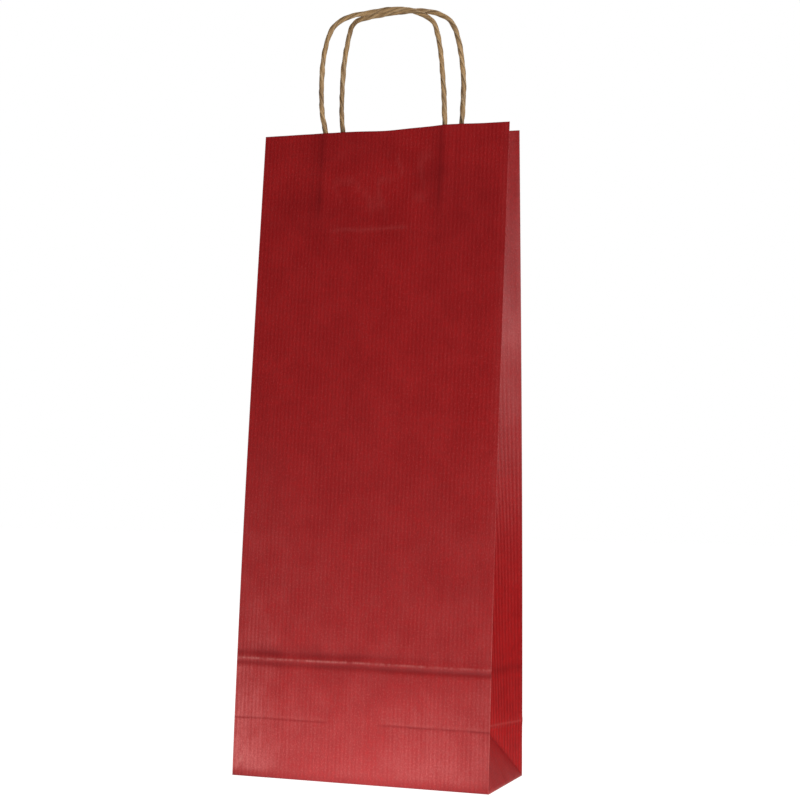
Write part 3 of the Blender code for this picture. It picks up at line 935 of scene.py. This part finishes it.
def bottom_fold(x_side):
    """The foot of a gusset, folded inwards under the bottle."""
    node = f"bottom_fold_{SIDES[x_side]}"
    low, high = box_mm(node)
    outer_x = max(abs(low[0]), abs(high[0]))
    inner_x = min(abs(low[0]), abs(high[0]))
    v = np.linspace(-1, 1, 60)[:, None]
    t = np.linspace(0, 1, 50)[None, :]
    reach = outer_x + (inner_x - outer_x) * t
    half = high[1] - (outer_x - reach) * 0.42
    curl = 1.1 * smooth((t - 0.75) / 0.25) * (0.6 + 0.4 * grain(v * 2, 2.0, 95 + x_side))
    z = low[2] + 0.05 + curl + 0.15 * grain(v * 4, t * 5, 93)
    face = np.stack(np.broadcast_arrays(x_side * reach, v * half, z), -1)
    marks = flat_marks(v * 37.5, t * 52, 0.3 * bell(t - 1, 0.02))
    piece = sheet(f"{node}_paper", face, x_side == RIGHT, marks, [KRAFT_INSIDE, RED, KRAFT_EDGE], PAPER)
    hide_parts(node)
    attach(piece, "base")


for y_side in (FRONT, BACK):
    panel_sheet(y_side)
    handle(y_side)
    patch(y_side, True)
    patch(y_side, False)
    for x_side in (LEFT, RIGHT):
        gusset_sheet(x_side, y_side)
seam_lap()
bottom_fold(LEFT)
bottom_fold(RIGHT)


# ---------------------------------------------------------------- stage, light and camera
# From here on, lengths are in metres.
WHITE = (1.0, 1.0, 1.0, 1.0)
FLOOR_REACH = 9.0
FLOOR_Z = -0.0003
FLOOR_GREY = (0.22, 0.22, 0.22, 1.0)
# Light that the floor sends up: a wide pool in front of the bag and a small one at its foot, each
# with its centre, the radii between which it fades, and its strength.
POOLS = (((-0.12, -0.32, 0.0), (0.12, 0.80), 0.92), ((0.006, -0.094, 0.0), (0.03, 0.13), 1.32))
FLOOR_FAR = 0.26
# The air is brightest at the horizon and fades upwards. Only its light counts: it shows white.
SKY_LOW, SKY_HIGH = 0.36, 0.035
SKY_FADE = (-0.05, 0.40)
# Soft boxes: place, target, size and power in watts.
LIGHTS = {
    "right_box": ((0.77, -0.52, 0.60), (0.05, 0, 0.30), (0.42, 0.42), 6.0),
    "left_box": ((-1.5, 0.9, 0.8), (0, 0, 0.2), (1.0, 1.0), 10.0),
    "overhead": ((0.0, 0.3, 2.0), (0, 0, 0.2), (1.6, 1.6), 12.0),
}
CAMERA_PLACE = (0.3332, -0.9348, 0.1586)
CAMERA_TURN, CAMERA_TIP, CAMERA_ROLL = 19.11, 94.0, 1.06
CAMERA_LENS, CAMERA_SENSOR = 72.7, 36.0


def floor_light(nodes, links):
    """Strength of the light that each place of the floor sends up."""
    near = nodes.new("ShaderNodeNewGeometry")
    total = None
    for middle, reach, power in POOLS:
        centre = nodes.new("ShaderNodeVectorMath")
        centre.operation = "DISTANCE"
        centre.inputs[1].default_value = middle
        links.new(near.outputs["Position"], centre.inputs[0])
        pool = nodes.new("ShaderNodeMapRange")
        pool.interpolation_type = "SMOOTHSTEP"
        for key, number in zip((1, 2, 3, 4), (*reach, power, 0.0)):
            pool.inputs[key].default_value = number
        links.new(centre.outputs["Value"], pool.inputs[0])
        add = nodes.new("ShaderNodeMath")
        add.operation = "ADD"
        links.new(pool.outputs[0], add.inputs[0])
        add.inputs[1].default_value = FLOOR_FAR
        if total is not None:
            links.new(total, add.inputs[1])
        total = add.outputs[0]
    return total


def stage_floor():
    """A plain pale floor that runs out to the white air of the studio."""
    corners = [(-1, -1), (1, -1), (1, 1), (-1, 1)]
    mesh = bpy.data.meshes.new("studio_floor")
    mesh.from_pydata([(x * FLOOR_REACH, y * FLOOR_REACH, FLOOR_Z) for x, y in corners], [], [(0, 1, 2, 3)])
    material = bpy.data.materials.new("pale_floor")
    material.use_nodes = True
    nodes, links = material.node_tree.nodes, material.node_tree.links
    nodes.clear()
    output = nodes.new("ShaderNodeOutputMaterial")
    path = nodes.new("ShaderNodeLightPath")
    glow = nodes.new("ShaderNodeEmission")
    glow.inputs["Color"].default_value = WHITE
    pale = nodes.new("ShaderNodeBsdfDiffuse")
    pale.inputs["Color"].default_value = FLOOR_GREY
    seen = nodes.new("ShaderNodeAddShader")
    bounce = nodes.new("ShaderNodeEmission")
    choose = nodes.new("ShaderNodeMixShader")
    links.new(floor_light(nodes, links), bounce.inputs["Strength"])
    links.new(glow.outputs[0], seen.inputs[0])
    links.new(pale.outputs[0], seen.inputs[1])
    links.new(path.outputs["Is Camera Ray"], choose.inputs[0])
    links.new(bounce.outputs[0], choose.inputs[1])
    links.new(seen.outputs[0], choose.inputs[2])
    links.new(choose.outputs[0], output.inputs[0])
    mesh.materials.append(material)
    floor = bpy.data.objects.new("studio_floor", mesh)
    bpy.context.scene.collection.objects.link(floor)


def soft_light(name, place, target, size, power):
    data = bpy.data.lights.new(name, "AREA")
    data.shape = "RECTANGLE"
    data.size, data.size_y = size
    data.energy = power
    light = bpy.data.objects.new(name, data)
    light.location = place
    light.rotation_euler = (Vector(target) - Vector(place)).to_track_quat("-Z", "Y").to_euler()
    bpy.context.scene.collection.objects.link(light)


def studio_air():
    world = bpy.data.worlds.new("studio_air")
    bpy.context.scene.world = world
    world.use_nodes = True
    nodes, links = world.node_tree.nodes, world.node_tree.links
    way = nodes.new("ShaderNodeTexCoord")
    split = nodes.new("ShaderNodeSeparateXYZ")
    links.new(way.outputs["Generated"], split.inputs[0])
    ramp = nodes.new("ShaderNodeMapRange")
    ramp.interpolation_type = "SMOOTHSTEP"
    links.new(split.outputs["Z"], ramp.inputs[0])
    for key, number in zip((1, 2, 3, 4), (*SKY_FADE, SKY_LOW, SKY_HIGH)):
        ramp.inputs[key].default_value = number
    path = nodes.new("ShaderNodeLightPath")
    seen = nodes.new("ShaderNodeMix")
    links.new(path.outputs["Is Camera Ray"], seen.inputs[0])
    links.new(ramp.outputs[0], seen.inputs[2])
    seen.inputs[3].default_value = 1.0
    sky = nodes["Background"]
    sky.inputs["Color"].default_value = WHITE
    links.new(seen.outputs[0], sky.inputs["Strength"])


def camera():
    data = bpy.data.cameras.new("photo_view")
    data.lens = CAMERA_LENS
    data.sensor_width = CAMERA_SENSOR
    eye = bpy.data.objects.new("photo_view", data)
    turn = Matrix.Rotation(math.radians(CAMERA_TURN), 3, "Z")
    tip = Matrix.Rotation(math.radians(CAMERA_TIP), 3, "X")
    roll = Matrix.Rotation(math.radians(CAMERA_ROLL), 3, "Z")
    eye.rotation_euler = (turn @ tip @ roll).to_euler()
    eye.location = CAMERA_PLACE
    bpy.context.scene.collection.objects.link(eye)
    bpy.context.scene.camera = eye


stage_floor()
for light_name, setting in LIGHTS.items():
    soft_light(light_name, *setting)
studio_air()
camera()
bpy.context.scene.view_settings.view_transform = "Standard"

bpy.context.view_layer.update()
